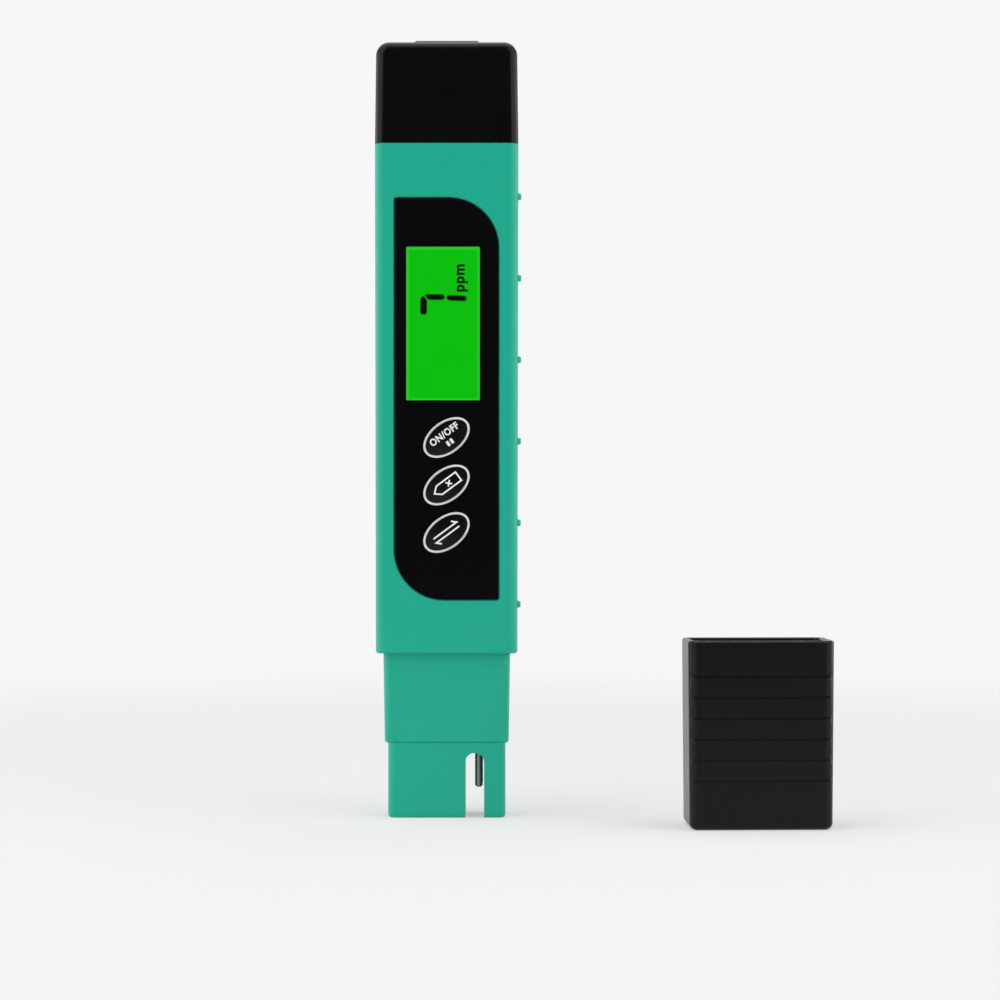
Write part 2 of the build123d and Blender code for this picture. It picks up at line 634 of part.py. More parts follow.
def make_board_screws():
    """Four screws from the back of the board into the bosses of the front shell."""
    screws = []
    for x, z in boss_places():
        screw = pin(SCREW_DIAMETER, x, z, BOARD_FACE - SCREW_LENGTH, BOARD_BACK)
        screws.append(screw + pin(SCREW_HEAD, x, z, BOARD_BACK, BOARD_BACK + SCREW_HEAD_HEIGHT))
    return Compound(children=screws)


def board_chip(size, height, pins, rise):
    """Square chip on the back of the board with a row of pins on two sides."""
    z = KEY_LOW_Z + rise
    chip = slab(Pos(0, z) * Rectangle(size, size), BOARD_BACK, BOARD_BACK + height)
    step = size / pins
    for index in range(pins):
        level = z - size / 2 + step * (index + 0.5)
        foot = Pos(0, level) * Rectangle(size + 2 * PIN_LENGTH, PIN_WIDTH)
        chip += slab(foot, BOARD_BACK, BOARD_BACK + PIN_HEIGHT)
    return chip


def make_timing_crystal():
    """Low metal can lying across the board."""
    outline = Pos(0, KEY_LOW_Z + CRYSTAL_RISE) * rounded(CRYSTAL_LENGTH, CRYSTAL_WIDTH, CRYSTAL_WIDTH / 2)
    return slab(outline, BOARD_BACK, BOARD_BACK + CRYSTAL_HEIGHT)


def chip_row(count, height, rise):
    """Row of small two-ended parts across the back of the board."""
    z = KEY_LOW_Z + rise
    row = []
    for index in range(count):
        x = CHIP_PITCH * (index - (count - 1) / 2)
        outline = Pos(x, z) * Rectangle(CHIP_WIDTH, CHIP_LENGTH)
        row.append(slab(outline, BOARD_BACK, BOARD_BACK + height))
    return Compound(children=row)


def make_cell(z, cap_side):
    """Button cell with its smaller cap to the front (-1) or to the back (1)."""
    rim = CELL_THICKNESS / 2 - CELL_CAP_HEIGHT
    low, high = sorted((-cap_side * CELL_THICKNESS / 2, cap_side * rim))
    can = pin(CELL_DIAMETER, 0, z, low, high)
    return can + pin(CELL_CAP_DIAMETER, 0, z, CELL_FRONT, CELL_BACK)


def make_battery_holder():
    """Channel for the two cells, open at the top and in front between its lips."""
    depth = HOLDER_DEPTH / 2
    holder = prism(rounded(HOLDER_WIDTH, HOLDER_DEPTH, HOLDER_CORNER), HOLDER_BOTTOM, HOLDER_TOP)
    flange_top = SHOULDER_Z - HOLDER_FIT
    gaps = 2 * HOLDER_FLANGE_GAP
    flange = rounded(CAVITY_WIDTH - gaps, CAVITY_DEPTH - gaps, HOLDER_CORNER)
    holder += prism(flange, flange_top - HOLDER_FLANGE_HEIGHT, flange_top)
    half = CELL_DIAMETER / 2 + CELL_FIT
    front = CELL_FRONT - CELL_FIT
    holder -= block((-half, half), (front, CELL_BACK + LEAF), (CELL_FLOOR_Z, HOLDER_TOP))
    window = CELL_DIAMETER / 2 - HOLDER_LIP
    holder -= block((-window, window), (CAVITY_FRONT, front + CELL_FIT), (HOLDER_BOTTOM, HOLDER_TOP))
    recess = (half + HOLDER_LIP, HOLDER_WIDTH / 2 - HOLDER_LIP)
    for x in (recess, (-recess[1], -recess[0])):
        holder -= block(x, (-depth, depth - HOLDER_LIP), (TOP_Z, HOLDER_TOP - HOLDER_FLOOR))
    return holder


def bent_strip(points, x, width):
    """Strip of leaf metal whose middle line, seen from the side, goes through the points."""
    rails = ([], [])
    for index, (y, z) in enumerate(points):
        before = points[max(index - 1, 0)]
        after = points[min(index + 1, len(points) - 1)]
        into = atan2(z - before[1], y - before[0]) if index else None
        away = atan2(after[1] - z, after[0] - y) if index < len(points) - 1 else None
        into = away if into is None else into
        away = into if away is None else away
        turn = (into + away) / 2
        reach = LEAF / 2 / cos((away - into) / 2)
        rails[0].append((y - reach * sin(turn), z + reach * cos(turn)))
        rails[1].append((y + reach * sin(turn), z - reach * cos(turn)))
    outline = make_face(Polyline(*rails[0], *reversed(rails[1]), close=True))
    return extrude(Plane.YZ.offset(x - width / 2) * outline, width)


def contact_foot():
    """Start of a leaf contact: flat on the front of the board, then out to the cells."""
    foot = BOARD_FACE - LEAF / 2
    high = BOARD_TOP - LEAF_RISE
    return [(foot, high - LEAF_FOOT), (foot, high)]


def make_lower_contact():
    """Leaf spring from the board to the front of the lower cell."""
    plane = CELL_FRONT - LEAF / 2
    path = contact_foot() + [(plane, BOARD_TOP), (plane, LOWER_CELL_Z + LEAF_FOOT)]
    return bent_strip(path, LEAF_X, LEAF_WIDTH)


def make_upper_contact():
    """Leaf spring that stands off the lower cell and touches the upper one."""
    plane = CELL_FRONT - LEAF / 2
    clear = plane - LEAF_STAND_OFF
    path = contact_foot() + [(clear, BOARD_TOP), (clear, LOWER_CELL_Z + CELL_DIAMETER / 2)]
    path += [(plane, UPPER_CELL_Z - LEAF_FOOT), (plane, UPPER_CELL_Z + LEAF_FOOT)]
    return bent_strip(path, -LEAF_X, LEAF_WIDTH)


def make_cell_bridge():
    """Flat strip behind the cells that joins one to the other."""
    middle = (LOWER_CELL_Z + UPPER_CELL_Z) / 2
    outline = Pos(0, middle) * Rectangle(BRIDGE_WIDTH, CELL_DIAMETER + 2 * LEAF_FOOT)
    return slab(outline, CELL_BACK, CELL_BACK + LEAF)


def corners_near(outline, y, z):
    """Corners of a flat outline at one place, given in its own two directions."""
    reach = CLIP_END_ROUND / 2
    return [corner for corner in outline.vertices() if hypot(corner.X - y, corner.Y - z) < reach]


def clip_form():
    """Pocket clip: strip over the roof, bend, arm down the back and a pinch nose near its tip."""
    inner = BACK_Y + CLIP_GAP
    outer = inner + CLIP_THICKNESS
    tip = ROOF_Z - CLIP_LENGTH
    under = ROOF_Z - CLIP_ROOT
    crest = ROOF_Z + CLIP_PROUD
    root_y = BACK_Y - CAP_WALL / 2
    root_z = ROOF_Z - CAP_ROOF / 2
    front = FRONT_Y + CLIP_FRONT
    points = [(front, root_z), (front, ROOF_Z), (front + 2 * CLIP_PROUD, crest), (outer, crest),
              (outer, tip), (inner, tip), (inner, under), (root_y, under), (root_y, root_z)]
    side = make_face(Polyline(*points, close=True))
    side = fillet(corners_near(side, outer, crest), CLIP_BEND)
    side = fillet(corners_near(side, inner, under), CLIP_CROOK)
    side = fillet(corners_near(side, outer, tip) + corners_near(side, inner, tip), CLIP_END_ROUND)
    nose_y = BACK_Y + CLIP_CLEARANCE + CLIP_NOSE_RADIUS
    side += Pos(nose_y, tip + CLIP_NOSE_RISE) * Circle(CLIP_NOSE_RADIUS)
    arm = extrude(Plane.YZ.offset(-CLIP_WIDTH / 2) * side, CLIP_WIDTH)
    half = CLIP_WIDTH / 2
    tip_half = CLIP_TIP_WIDTH / 2
    left = [(-half, crest - CLIP_PROUD), (-half, under), (-tip_half, tip)]
    top = [(CLIP_PROUD - half, crest), (half - CLIP_PROUD, crest)]
    plan = make_face(Polyline(*top, *[(-x, z) for x, z in left], *reversed(left), close=True))
    low = corners_near(plan, -tip_half, tip) + corners_near(plan, tip_half, tip)
    return arm & slab(fillet(low, CLIP_TIP_WIDTH / 3), FRONT_Y, outer)


def make_battery_cap():
    """Pull-off cap over the neck, moulded in one with the pocket clip."""
    cap = drafted(Rectangle(CASE_WIDTH, CASE_DEPTH), TOP_Z, ROOF_Z, CAP_DRAFT)
    cap = fillet(end_edges(cap, -1).filter_by(Axis.Y), CAP_ROUND)
    faces = cap.faces().sort_by(Axis.Y)
    rims = [edge for edge in faces[0].edges() + faces[-1].edges() if edge.center().Z > TOP_Z + CAP_ROUND]
    cap = fillet(rims, CASE_CORNER)
    bore = rounded(NECK_WIDTH + 2 * CAP_FIT, NECK_DEPTH + 2 * CAP_FIT, NECK_CORNER)
    return cap + clip_form() - prism(bore, TOP_Z, CEILING_Z)


def probe_cap_place():
    """Where the probe cap stands beside the pen."""
    return Pos(PROBE_CAP_X, PROBE_CAP_Y, 0) * Rot(0, 0, PROBE_CAP_TURN)


def make_probe_cap():
    """Open-topped cap with rounded edges and fine grip grooves front and back."""
    width, depth = BOTTOM_WIDTH - 2 * PROBE_DRAFT, CASE_DEPTH - 2 * PROBE_DRAFT
    cap = drafted(rounded(width, depth, CASE_CORNER), 0, PROBE_CAP_HEIGHT, -PROBE_DRAFT)
    cap = fillet(end_edges(cap, 0), PROBE_ROUND)
    bore = rounded(SEAT_WIDTH + 2 * PROBE_FIT, SEAT_DEPTH + 2 * PROBE_FIT, SEAT_CORNER)
    cap -= prism(bore, PROBE_FLOOR, PROBE_CAP_HEIGHT)
    for index in range(GROOVE_COUNT):
        z = GROOVE_LOW + GROOVE_PITCH * index
        face = depth / 2 + PROBE_DRAFT * z / PROBE_CAP_HEIGHT
        bands = Rectangle(2 * width, 2 * depth) - Rectangle(2 * width, 2 * (face - GROOVE_DEPTH))
        cap -= prism(bands, z - GROOVE_HEIGHT / 2, z + GROOVE_HEIGHT / 2)
    return probe_cap_place() * chamfer(end_edges(cap, -1), RIM_EDGE)


def make_electrode(side):
    """Metal pin that hangs in the slot of the nose and goes up through its seal."""
    electrode = rod(ELECTRODE_DIAMETER, ELECTRODE_X, side * ELECTRODE_Y, (ELECTRODE_BOTTOM, ELECTRODE_TOP))
    return chamfer(end_edges(electrode, 0), ELECTRODE_EDGE)


def probe_block(low, high, gap):
    """Block across the probe bore with a hole for each electrode."""
    depth = PROBE_BORE_DEPTH - 2 * gap
    piece = prism(Pos(ELECTRODE_X, 0) * Rectangle(ELECTRODE_HOLDER_WIDTH, depth), low, high)
    for side in (-1, 1):
        hole = ELECTRODE_DIAMETER + 2 * gap
        piece -= rod(hole, ELECTRODE_X, side * ELECTRODE_Y, (low, high))
    return piece


def lead(x, y, side, low):
    """Wire from a place in the probe up to the front or back face of the board."""
    face = BOARD_FACE if side < 0 else BOARD_BACK
    end = face + side * WIRE_DIAMETER / 2
    run = (BOARD_BOTTOM - low) / 3
    high = BOARD_BOTTOM + WIRE_OVERLAP
    path = Polyline((x, y, low), (x, y, low + run), (x, end, low + 2 * run), (x, end, high))
    return sweep(Pos(x, y, low) * Circle(WIRE_DIAMETER / 2), path=path, transition=Transition.RIGHT)


def make_electrode_leads():
    """One wire from each electrode to the board."""
    leads = [lead(ELECTRODE_X, side * ELECTRODE_Y, side, ELECTRODE_TOP) for side in (-1, 1)]
    return Compound(children=leads)


def make_thermistor():
    """Glass bead that senses the water's temperature through the nose."""
    top = THERMISTOR_BOTTOM + THERMISTOR_LENGTH
    bead = rod(THERMISTOR_DIAMETER, THERMISTOR_X, 0, (THERMISTOR_BOTTOM, top))
    return chamfer(bead.edges().filter_by(GeomType.CIRCLE), THERMISTOR_EDGE)


def make_thermistor_leads():
    """Two wires from the thermistor to the front and back of the board."""
    leads = []
    for side in (-1, 1):
        start = side * (WIRE_DIAMETER + THERMISTOR_WIRE_GAP) / 2
        leads.append(lead(THERMISTOR_X, start, side, THERMISTOR_BOTTOM + THERMISTOR_LENGTH))
    return Compound(children=leads)


def make_meter():
    """Every node of the meter by name."""
    form = pen_form()
    hollows = pen_hollows()
    film_height = GLASS_HEIGHT - 2 * POLARISER_INSET
    holder_top = SEAL_TOP + ELECTRODE_HOLDER_HEIGHT
    nodes = {
        "front_shell": make_front_shell(form, hollows),
        "rear_shell": make_rear_shell(form, hollows),
        "fascia_panel": make_fascia_panel(),
        "display_lens": make_display_lens(),
        "key_rings": make_key_rings(),
        "switch_bodies": make_switch_bodies(),
        "front_polariser": display_plate(CORE_WIDTH, film_height, POLARISER_Y, POLARISER),
        "lcd_front_glass": display_plate(GLASS_WIDTH, GLASS_HEIGHT, FRONT_GLASS_Y, GLASS),
        "lcd_rear_glass": display_plate(CORE_WIDTH, GLASS_HEIGHT, REAR_GLASS_Y, GLASS),
        "rear_polariser": display_plate(CORE_WIDTH, film_height, REAR_POLARISER_Y, POLARISER),
        "light_guide": make_light_guide(),
        "backlight_leds": make_backlight_leds(),
        "zebra_strips": make_zebra_strips(),
        "lcd_frame": make_lcd_frame(),
        "circuit_board": make_circuit_board(),
        "board_screws": make_board_screws(),
        "controller_chip": board_chip(CONTROLLER_SIZE, CONTROLLER_HEIGHT, CONTROLLER_PINS, CONTROLLER_RISE),
        "amplifier_chip": board_chip(AMPLIFIER_SIZE, AMPLIFIER_HEIGHT, AMPLIFIER_PINS, AMPLIFIER_RISE),
        "timing_crystal": make_timing_crystal(),
        "chip_capacitors": chip_row(CAPACITOR_COUNT, CAPACITOR_HEIGHT, CAPACITOR_RISE),
        "chip_resistors": chip_row(RESISTOR_COUNT, RESISTOR_HEIGHT, RESISTOR_RISE),
        "battery_holder": make_battery_holder(),
        "lower_cell": make_cell(LOWER_CELL_Z, 1),
        "upper_cell": make_cell(UPPER_CELL_Z, -1),
        "lower_contact": make_lower_contact(),
        "upper_contact": make_upper_contact(),
        "cell_bridge": make_cell_bridge(),
        "battery_cap": make_battery_cap(),
        "probe_cap": make_probe_cap(),
        "front_electrode": make_electrode(-1),
        "rear_electrode": make_electrode(1),
        "probe_seal": probe_block(PROBE_BORE_Z, SEAL_TOP, 0),
        "electrode_holder": probe_block(SEAL_TOP, holder_top, ELECTRODE_FIT),
        "electrode_leads": make_electrode_leads(),
        "thermistor": make_thermistor(),
        "thermistor_leads": make_thermistor_leads(),
    }
    for name, z in zip(KEY_NAMES, KEY_LEVELS):
        nodes[name + "_key"] = make_key(z)
        nodes[name + "_plunger"] = make_plunger(z)
    return nodes


os.makedirs("parts", exist_ok=True)
for node, shape in make_meter().items():
    export_step(shape, "parts/" + node + ".step")
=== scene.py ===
import math

import bmesh
import bpy
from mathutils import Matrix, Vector


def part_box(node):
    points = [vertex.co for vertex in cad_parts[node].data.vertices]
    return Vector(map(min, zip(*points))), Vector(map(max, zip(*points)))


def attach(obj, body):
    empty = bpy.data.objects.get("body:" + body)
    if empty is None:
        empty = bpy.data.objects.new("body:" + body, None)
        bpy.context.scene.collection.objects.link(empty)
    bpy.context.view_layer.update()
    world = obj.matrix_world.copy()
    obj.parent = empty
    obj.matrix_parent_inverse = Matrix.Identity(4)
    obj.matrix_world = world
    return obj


# Looks of a pocket total dissolved solids meter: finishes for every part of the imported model, the
# printed signs on its keys, the figures of its display, and a plain studio.
# Sizes are metres, unless a comment says millimetres. +Z runs up the pen, the display faces -Y and
# +X is to the viewer's right.

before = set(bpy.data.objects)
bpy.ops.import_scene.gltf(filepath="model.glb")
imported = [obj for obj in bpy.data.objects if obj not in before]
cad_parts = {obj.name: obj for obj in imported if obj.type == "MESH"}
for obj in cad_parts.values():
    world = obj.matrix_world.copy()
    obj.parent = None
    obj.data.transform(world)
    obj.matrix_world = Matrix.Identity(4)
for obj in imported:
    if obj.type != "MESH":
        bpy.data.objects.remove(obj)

bl_info = {
    "name": "Dissolved solids meter looks",
    "version": (1, 0, 0),
    "blender": (4, 5, 0),
    "location": "View3D > Sidebar > Meter",
    "description": "Finishes, key signs, display figures and studio for a pocket meter",
    "category": "Object",
}

MM = 0.001

# The oval keys, the tilt of their long axis and the radius of their domed crown.
KEYS = ("power_key", "clear_key", "mode_key")
KEY_TILT = math.radians(36.5)
KEY_CROWN_RADIUS = 20 * MM

# Place of the two signs of the upper key, above its middle along its short axis, and the width of
# the pause sign's bars in strokes of the other signs.
WORD_RISE = 0.8 * MM
PAUSE_RISE = -1.2 * MM
PAUSE_WEIGHT = 1.7

# Longest piece of a stroke, so that a sign can follow the dome of its key.
STROKE_STEP = 0.4 * MM

# Boldness of the letters as a share of their size, and their spacing against the font's own.
LETTER_WEIGHT = 0.035
LETTER_SPACING = 1.12

# Ledge of the window that lies under the fascia. From its inner edge the lit film is paler, in
# full up to the first distance and no longer at the second.
LENS_LEDGE = 0.8 * MM
RIM_FULL = 0.2 * MM
RIM_END = 0.6 * MM

# Outlines of the bars of the figure, in millimetres from the middle of the window: the top bar,
# then the upper and the lower bar of its right side, mitred where they meet. They are drawn for
# the height in millimetres that follows them.
SEVEN = (
    ((1.9, 3.5), (1.9, 4.3), (2.2, 4.6), (4.9, 4.6), (5.4, 4.4), (5.7, 4.0), (4.9, 3.25),
     (2.2, 3.25)),
    ((5.85, 3.8), (6.0, 3.5), (6.0, 0.1), (5.7, -0.35), (5.2, -0.35), (4.85, 0.1), (4.85, 2.8),
     (5.05, 3.1)),
    ((5.6, -0.7), (5.85, -1.1), (5.7, -4.3), (5.4, -4.75), (4.9, -4.75), (4.6, -4.35),
     (4.75, -1.1), (5.05, -0.7)),
)
SEVEN_HEIGHT = 9.4

# Middle of the unit, along the display and across it, from the middle of the window.
UNIT_PLACE = (9.25 * MM, -3.85 * MM, 0)

# Most values of a noise texture lie between these two.
NOISE_LOW = 0.3
NOISE_HIGH = 0.7

# White of the floor and the background, and the dim light that comes from all round.
STAGE_WHITE = (0.93, 0.93, 0.93)
WORLD_DIM = (0.04, 0.04, 0.04)

# Gloss sees white behind the object only: none up to the first Y of its direction, all from the
# second.
WORLD_EDGE = (-0.2, 0.3)

# Near the object the floor is this much plain white and otherwise card that takes the shadow. It
# turns all white between the two distances. In gloss its white ends softly, towards its front.
FLOOR_RADIUS = 0.8
FLOOR_NEAR_WHITE = 0.45
FLOOR_FADE = (0.1, 0.5)
FLOOR_FRONT = (-FLOOR_RADIUS, -0.15)

# Name, place, side and power in watts of each soft lamp, and the point that they all face.
LAMPS = (
    ("left_softbox", (-0.62, -0.42, 0.42), 0.9, 4.2),
    ("right_softbox", (0.66, -0.4, 0.36), 0.9, 4.1),
    ("top_softbox", (0.0, 0.02, 0.8), 0.9, 3.8),
    ("left_strip", (-0.5, 0.12, 0.12), 0.25, 0.6),
    ("right_strip", (0.55, 0.12, 0.12), 0.25, 0.6),
)
LAMP_TARGET = Vector((0.01, 0, 0.08))

# Place of the level camera, the width of its frame at the face of the case and its distance to it.
CAMERA_PLACE = Vector((10.7, -557.5, 63.8)) * MM
CAMERA_FRAME = 200 * MM
CAMERA_DISTANCE = 550 * MM


def linear(code):
    """Linear colour of an sRGB hex value."""
    parts = [int(code[index:index + 2], 16) / 255 for index in (1, 3, 5)]
    return [part / 12.92 if part < 0.04045 else ((part + 0.055) / 1.055) ** 2.4 for part in parts]


def colour_property(label, code, text):
    """Colour that a user can set, shown as written in hex."""
    return bpy.props.FloatVectorProperty(name=label, description=text, subtype="COLOR", size=3,
                                         min=0.0, max=1.0, default=linear(code))


def length_property(label, millimetres, text):
    """Length that a user can set."""
    return bpy.props.FloatProperty(name=label, description=text, subtype="DISTANCE", unit="LENGTH",
                                   min=0.0, precision=5, default=millimetres * MM)


class MeterColours(bpy.types.PropertyGroup):
    """Colours of the meter's plastics, display and printing."""

    case: colour_property("Case", "#17B093", "Teal plastic of the two half shells")
    caps: colour_property("Caps", "#070708", "Black plastic of the battery cap and probe cap")
    fascia: colour_property("Fascia", "#050506", "Black print behind the fascia film")
    keys: colour_property("Keys", "#070708", "Rubber of the three keys")
    rings: colour_property("Rings", "#E4E6E5", "Lacquer of the rings round the keys")
    signs: colour_property("Signs", "#F2F4F3", "Ink of the signs on the keys")
    display: colour_property("Display", "#00C302", "Lit field of the display")
    display_edge: colour_property("Display edge", "#28CC2C", "Lit field beside the display's edge")
    figures: colour_property("Figures", "#030603", "Dark figures of the display")


class MeterSizes(bpy.types.PropertyGroup):
    """Sizes of what is printed or drawn on the meter."""

    sign_stroke: length_property("Sign stroke", 0.32, "Width of the strokes of the key signs")
    sign_height: length_property("Sign height", 2.2, "Height of a sign that fills its key")
    word_height: length_property("Word height", 1.5, "Height of the letters on the upper key")
    word_length: length_property("Word length", 6.7, "Length of the word on the upper key")
    ink: length_property("Ink", 0.03, "Thickness of the printed ink")
    figure_round: length_property("Figure rounding", 0.15, "Rounding of the figure's corners")
    figure_height: length_property("Figure height", 9.4, "Height of the display's figure")
    unit_height: length_property("Unit height", 2.3, "Height of the display's unit with its tails")
    unit_length: length_property("Unit length", 5.5, "Length of the display's unit")


def add(tree, kind, inputs=None, **settings):
    """New shader node with its settings, and each input joined to a socket or set to a value."""
    node = tree.nodes.new(kind)
    for name, value in settings.items():
        setattr(node, name, value)
    for name, value in (inputs or {}).items():
        if isinstance(value, bpy.types.NodeSocket):
            tree.links.new(value, node.inputs[name])
        else:
            node.inputs[name].default_value = value
    return node


def cells_per_metre(millimetres):
    """Texture scale at which one cell of the pattern has that size."""
    return 1000 / millimetres


def shade(colour, factor=1.0):
    """Colour with its alpha, made lighter or darker."""
    return (*[min(part * factor, 1.0) for part in colour], 1.0)


def finish(name, colour, roughness, **shader):
    """New material with one principled shader, whose other sockets are named in lower case.

    Gives the material, its tree and that shader."""
    material = bpy.data.materials.new(name)
    material.use_nodes = True
    tree = material.node_tree
    principled = tree.nodes["Principled BSDF"]
    principled.inputs["Base Color"].default_value = shade(colour)
    principled.inputs["Roughness"].default_value = roughness
    for label, value in shader.items():
        socket = label.replace("_", " ").title().replace("Ior", "IOR")
        principled.inputs[socket].default_value = value
    return material, tree, principled


def vary_colour(tree, shader, colour, cell, spread):
    """Slow drift of the colour to either side of its mean."""
    place = add(tree, "ShaderNodeTexCoord").outputs["Object"]
    drift = add(tree, "ShaderNodeTexNoise",
                {"Vector": place, "Scale": cells_per_metre(cell), "Detail": 3.0})
    mix = add(tree, "ShaderNodeMix",
              {"Factor": drift.outputs["Fac"], "A": shade(colour, 1 - spread),
               "B": shade(colour, 1 + spread)}, data_type="RGBA")
    tree.links.new(mix.outputs["Result"], shader.inputs["Base Color"])


def vary_gloss(tree, shader, low, high, cell):
    """Slow drift of the roughness between two values."""
    place = add(tree, "ShaderNodeTexCoord").outputs["Object"]
    drift = add(tree, "ShaderNodeTexNoise",
                {"Vector": place, "Scale": cells_per_metre(cell), "Detail": 4.0})
    rough = add(tree, "ShaderNodeMapRange",
                {"Value": drift.outputs["Fac"], "From Min": NOISE_LOW, "From Max": NOISE_HIGH,
                 "To Min": low, "To Max": high})
    tree.links.new(rough.outputs["Result"], shader.inputs["Roughness"])


def grain(tree, shader, cell, height, finer=(1, 1, 1)):
    """Fine relief, with its cell and height in millimetres, made finer along some axes."""
    place = add(tree, "ShaderNodeTexCoord").outputs["Object"]
    mapping = add(tree, "ShaderNodeMapping", {"Vector": place, "Scale": finer})
    relief = add(tree, "ShaderNodeTexNoise",
                 {"Vector": mapping.outputs["Vector"], "Scale": cells_per_metre(cell),
                  "Detail": 2.0})
    bump = add(tree, "ShaderNodeBump",
               {"Height": relief.outputs["Fac"], "Distance": height * MM})
    tree.links.new(bump.outputs["Normal"], shader.inputs["Normal"])


def moulded_plastic(name, colour, roughness, reflection=0.3):
    """ABS, nylon, acetal or PVC moulded in a spark-eroded steel tool: an even satin skin.

    Its highlight is broad and soft. The tool leaves grains of about 0.1 mm, drawn at 0.25 mm so
    that they just show."""
    material, tree, shader = finish(name, colour, roughness, ior=1.54,
                                    specular_ior_level=reflection)
    vary_colour(tree, shader, colour, cell=9, spread=0.03)
    vary_gloss(tree, shader, roughness - 0.02, roughness + 0.02, cell=5)
    grain(tree, shader, cell=0.25, height=0.004)
    return material


def hard_coated_film(name, colour):
    """Polycarbonate film printed black on its back and hard coated: deep gloss, faint ripples."""
    material, tree, shader = finish(name, colour, roughness=0.08, ior=1.585)
    vary_colour(tree, shader, colour, cell=14, spread=0.1)
    vary_gloss(tree, shader, 0.06, 0.11, cell=7)
    grain(tree, shader, cell=6, height=0.004)
    return material


def clear_plastic(name, tint):
    """Polished cast acrylic or acetate film: clear in its tint, with a thin sharp reflection."""
    material, tree, shader = finish(name, tint, roughness=0.02, ior=1.49, transmission_weight=1.0)
    grain(tree, shader, cell=8, height=0.001)
    return material


def clear_glass(name, tint):
    """Soda glass of the display and of the thermistor's bead: clear in its tint, almost smooth."""
    material, tree, shader = finish(name, tint, roughness=0.01, ior=1.52, transmission_weight=1.0)
    grain(tree, shader, cell=12, height=0.0005)
    return material


def silicone_key(name, colour):
    """Silicone rubber key, moulded with a smooth dome: dark, with a soft sheen on its crown."""
    material, tree, shader = finish(name, colour, roughness=0.3, ior=1.43, specular_ior_level=0.3)
    vary_colour(tree, shader, colour, cell=3, spread=0.08)
    grain(tree, shader, cell=0.3, height=0.002)
    return material


def lacquered_ring(name, colour):
    """ABS ring in pale grey lacquer: light, even and satin, with a slight orange peel."""
    material, tree, shader = finish(name, colour, roughness=0.34, ior=1.5)
    vary_colour(tree, shader, colour, cell=1.5, spread=0.03)
    grain(tree, shader, cell=0.6, height=0.003)
    return material


def screen_ink(name, colour, reflection=0.5):
    """Two-part screen ink: flat and opaque, with the faint mesh of the screen, 0.15 mm a thread."""
    material, tree, shader = finish(name, colour, roughness=0.55, ior=1.5,
                                    specular_ior_level=reflection)
    vary_colour(tree, shader, colour, cell=0.8, spread=0.03)
    grain(tree, shader, cell=0.15, height=0.002)
    return material


def lit_film(name, colour, edge_colour, low, high):
    """Polarising film over a green backlight: an even glow, paler along the edge of the window.

    The two corners are those of the part that shows."""
    material, tree, shader = finish(name, shade(colour, 0.05)[:3], roughness=0.25, ior=1.48,
                                    specular_ior_level=0.2)
    place = add(tree, "ShaderNodeTexCoord").outputs["Object"]
    axes = add(tree, "ShaderNodeSeparateXYZ", {"Vector": place})
    depths = []
    for axis, index in (("X", 0), ("Z", 2)):
        middle = (low[index] + high[index]) / 2
        half = (high[index] - low[index]) / 2
        offset = add(tree, "ShaderNodeMath", {0: axes.outputs[axis], 1: middle},
                     operation="SUBTRACT")
        away = add(tree, "ShaderNodeMath", {0: offset.outputs["Value"]}, operation="ABSOLUTE")
        depth = add(tree, "ShaderNodeMath", {0: half, 1: away.outputs["Value"]},
                    operation="SUBTRACT")
        depths.append(depth.outputs["Value"])
    nearest = add(tree, "ShaderNodeMath", {0: depths[0], 1: depths[1]}, operation="MINIMUM")
    rim = add(tree, "ShaderNodeMapRange",
              {"Value": nearest.outputs["Value"], "From Min": RIM_FULL, "From Max": RIM_END,
               "To Min": 1.0, "To Max": 0.0}, interpolation_type="SMOOTHSTEP")
    glow = add(tree, "ShaderNodeMix",
               {"Factor": rim.outputs["Result"], "A": shade(colour), "B": shade(edge_colour)},
               data_type="RGBA")
    cloud = add(tree, "ShaderNodeTexNoise",
                {"Vector": place, "Scale": cells_per_metre(7), "Detail": 1.0})
    level = add(tree, "ShaderNodeMapRange",
                {"Value": cloud.outputs["Fac"], "To Min": 0.97, "To Max": 1.03})
    even = add(tree, "ShaderNodeVectorMath",
               {0: glow.outputs["Result"], "Scale": level.outputs["Result"]}, operation="SCALE")
    tree.links.new(even.outputs["Vector"], shader.inputs["Emission Color"])
    shader.inputs["Emission Strength"].default_value = 1.0
    return material


def drawn_metal(name, code, roughness, cell, finer):
    """Metal drawn or ground in one direction: fine lines that spread the highlight across them."""
    colour = linear(code)
    material, tree, shader = finish(name, colour, roughness, metallic=1.0)
    vary_colour(tree, shader, colour, cell=2, spread=0.06)
    grain(tree, shader, cell=cell, height=0.002, finer=finer)
    return material


def plated_steel(name, code, roughness):
    """Steel with bright nickel or zinc plating: mirror-like, softened by handling."""
    colour = linear(code)
    material, tree, shader = finish(name, colour, roughness, metallic=1.0)
    vary_gloss(tree, shader, roughness * 0.7, roughness * 1.4, cell=2.5)
    grain(tree, shader, cell=0.6, height=0.002)
    return material


def glass_fibre_board(name, code):
    """Glass fibre board under green solder resist: its 0.5 mm weave shows as a faint relief."""
    colour = linear(code)
    material, tree, shader = finish(name, colour, roughness=0.3, ior=1.55)
    vary_colour(tree, shader, colour, cell=0.5, spread=0.12)
    grain(tree, shader, cell=0.5, height=0.01, finer=(1, 1, 0.4))
    return material


